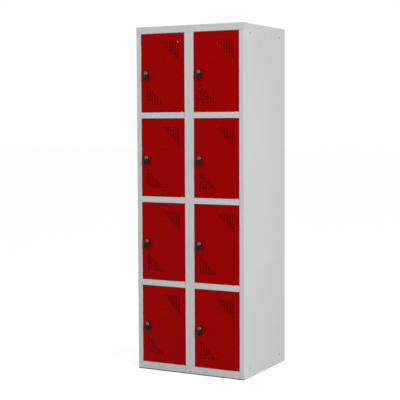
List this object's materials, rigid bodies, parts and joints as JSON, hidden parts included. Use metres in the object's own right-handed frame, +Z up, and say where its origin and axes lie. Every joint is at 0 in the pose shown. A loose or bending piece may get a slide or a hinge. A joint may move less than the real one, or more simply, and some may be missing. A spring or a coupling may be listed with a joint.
{
  "type": "compartment locker",
  "caption": "Free-standing steel compartment locker with stacked vented doors on pin hinges, cylinder locks that turn cams, and finger pulls.",
  "frame": {"origin": "on the floor, in the middle of the footprint's box with the finger pulls counted in", "axes": "+Z up, the doors face -Y, +X to the right of someone who faces the doors"},
  "size_m": [0.6, 0.5184, 1.74],
  "materials": {
    "frame_paint": "satin powder coat",
    "door_paint": "satin powder coat",
    "black_plastic": "moulded, matt",
    "nickel": "nickel plated",
    "zinc_steel": "zinc plated",
    "rubber": "matt",
    "nylon": "natural nylon"
  },
  "bodies": {
    "carcass": {"side_panel_left": "frame_paint", "side_panel_right": "frame_paint", "partition_left": "frame_paint", "partition_right": "frame_paint", "back_panel_left": "frame_paint", "top_panel_left": "frame_paint", "base_panel_left": "frame_paint", "shelf_left_1": "frame_paint", "shelf_left_2": "frame_paint", "shelf_left_3": "frame_paint", "back_panel_right": "frame_paint", "top_panel_right": "frame_paint", "base_panel_right": "frame_paint", "shelf_right_1": "frame_paint", "shelf_right_2": "frame_paint", "shelf_right_3": "frame_paint", "hinge_pins": "zinc_steel", "hinge_washers": "nylon", "door_buffers": "rubber", "joining_bolts": "zinc_steel"},
    "left_1_door": {"door_left_1": "door_paint", "lock_pull_left_1": "black_plastic", "lock_barrel_left_1": "nickel"},
    "left_1_lock": {"lock_plug_left_1": "nickel", "lock_cam_left_1": "zinc_steel"},
    "left_2_door": {"door_left_2": "door_paint", "lock_pull_left_2": "black_plastic", "lock_barrel_left_2": "nickel"},
    "left_2_lock": {"lock_plug_left_2": "nickel", "lock_cam_left_2": "zinc_steel"},
    "left_3_door": {"door_left_3": "door_paint", "lock_pull_left_3": "black_plastic", "lock_barrel_left_3": "nickel"},
    "left_3_lock": {"lock_plug_left_3": "nickel", "lock_cam_left_3": "zinc_steel"},
    "left_4_door": {"door_left_4": "door_paint", "lock_pull_left_4": "black_plastic", "lock_barrel_left_4": "nickel"},
    "left_4_lock": {"lock_plug_left_4": "nickel", "lock_cam_left_4": "zinc_steel"},
    "right_1_door": {"door_right_1": "door_paint", "lock_pull_right_1": "black_plastic", "lock_barrel_right_1": "nickel"},
    "right_1_lock": {"lock_plug_right_1": "nickel", "lock_cam_right_1": "zinc_steel"},
    "right_2_door": {"door_right_2": "door_paint", "lock_pull_right_2": "black_plastic", "lock_barrel_right_2": "nickel"},
    "right_2_lock": {"lock_plug_right_2": "nickel", "lock_cam_right_2": "zinc_steel"},
    "right_3_door": {"door_right_3": "door_paint", "lock_pull_right_3": "black_plastic", "lock_barrel_right_3": "nickel"},
    "right_3_lock": {"lock_plug_right_3": "nickel", "lock_cam_right_3": "zinc_steel"},
    "right_4_door": {"door_right_4": "door_paint", "lock_pull_right_4": "black_plastic", "lock_barrel_right_4": "nickel"},
    "right_4_lock": {"lock_plug_right_4": "nickel", "lock_cam_right_4": "zinc_steel"}
  },
  "joints": [
    {"name": "left_1_hinge", "type": "hinge", "parent": "carcass", "child": "left_1_door", "pos_m": [-0.043, -0.23125, 1.508], "axis": [0, 0, 1], "range_deg": [0, 110]},
    {"name": "left_1_lock_turn", "type": "hinge", "parent": "left_1_door", "child": "left_1_lock", "pos_m": [-0.2415, -0.23875, 1.508], "axis": [0, 1, 0], "range_deg": [0, 90]},
    {"name": "left_2_hinge", "type": "hinge", "parent": "carcass", "child": "left_2_door", "pos_m": [-0.043, -0.23125, 1.084], "axis": [0, 0, 1], "range_deg": [0, 110]},
    {"name": "left_2_lock_turn", "type": "hinge", "parent": "left_2_door", "child": "left_2_lock", "pos_m": [-0.2415, -0.23875, 1.084], "axis": [0, 1, 0], "range_deg": [0, 90]},
    {"name": "left_3_hinge", "type": "hinge", "parent": "carcass", "child": "left_3_door", "pos_m": [-0.043, -0.23125, 0.66], "axis": [0, 0, 1], "range_deg": [0, 110]},
    {"name": "left_3_lock_turn", "type": "hinge", "parent": "left_3_door", "child": "left_3_lock", "pos_m": [-0.2415, -0.23875, 0.66], "axis": [0, 1, 0], "range_deg": [0, 90]},
    {"name": "left_4_hinge", "type": "hinge", "parent": "carcass", "child": "left_4_door", "pos_m": [-0.043, -0.23125, 0.236], "axis": [0, 0, 1], "range_deg": [0, 110]},
    {"name": "left_4_lock_turn", "type": "hinge", "parent": "left_4_door", "child": "left_4_lock", "pos_m": [-0.2415, -0.23875, 0.236], "axis": [0, 1, 0], "range_deg": [0, 90]},
    {"name": "right_1_hinge", "type": "hinge", "parent": "carcass", "child": "right_1_door", "pos_m": [0.257, -0.23125, 1.508], "axis": [0, 0, 1], "range_deg": [0, 110]},
    {"name": "right_1_lock_turn", "type": "hinge", "parent": "right_1_door", "child": "right_1_lock", "pos_m": [0.0585, -0.23875, 1.508], "axis": [0, 1, 0], "range_deg": [0, 90]},
    {"name": "right_2_hinge", "type": "hinge", "parent": "carcass", "child": "right_2_door", "pos_m": [0.257, -0.23125, 1.084], "axis": [0, 0, 1], "range_deg": [0, 110]},
    {"name": "right_2_lock_turn", "type": "hinge", "parent": "right_2_door", "child": "right_2_lock", "pos_m": [0.0585, -0.23875, 1.084], "axis": [0, 1, 0], "range_deg": [0, 90]},
    {"name": "right_3_hinge", "type": "hinge", "parent": "carcass", "child": "right_3_door", "pos_m": [0.257, -0.23125, 0.66], "axis": [0, 0, 1], "range_deg": [0, 110]},
    {"name": "right_3_lock_turn", "type": "hinge", "parent": "right_3_door", "child": "right_3_lock", "pos_m": [0.0585, -0.23875, 0.66], "axis": [0, 1, 0], "range_deg": [0, 90]},
    {"name": "right_4_hinge", "type": "hinge", "parent": "carcass", "child": "right_4_door", "pos_m": [0.257, -0.23125, 0.236], "axis": [0, 0, 1], "range_deg": [0, 110]},
    {"name": "right_4_lock_turn", "type": "hinge", "parent": "right_4_door", "child": "right_4_lock", "pos_m": [0.0585, -0.23875, 0.236], "axis": [0, 1, 0], "range_deg": [0, 90]}
  ]
}
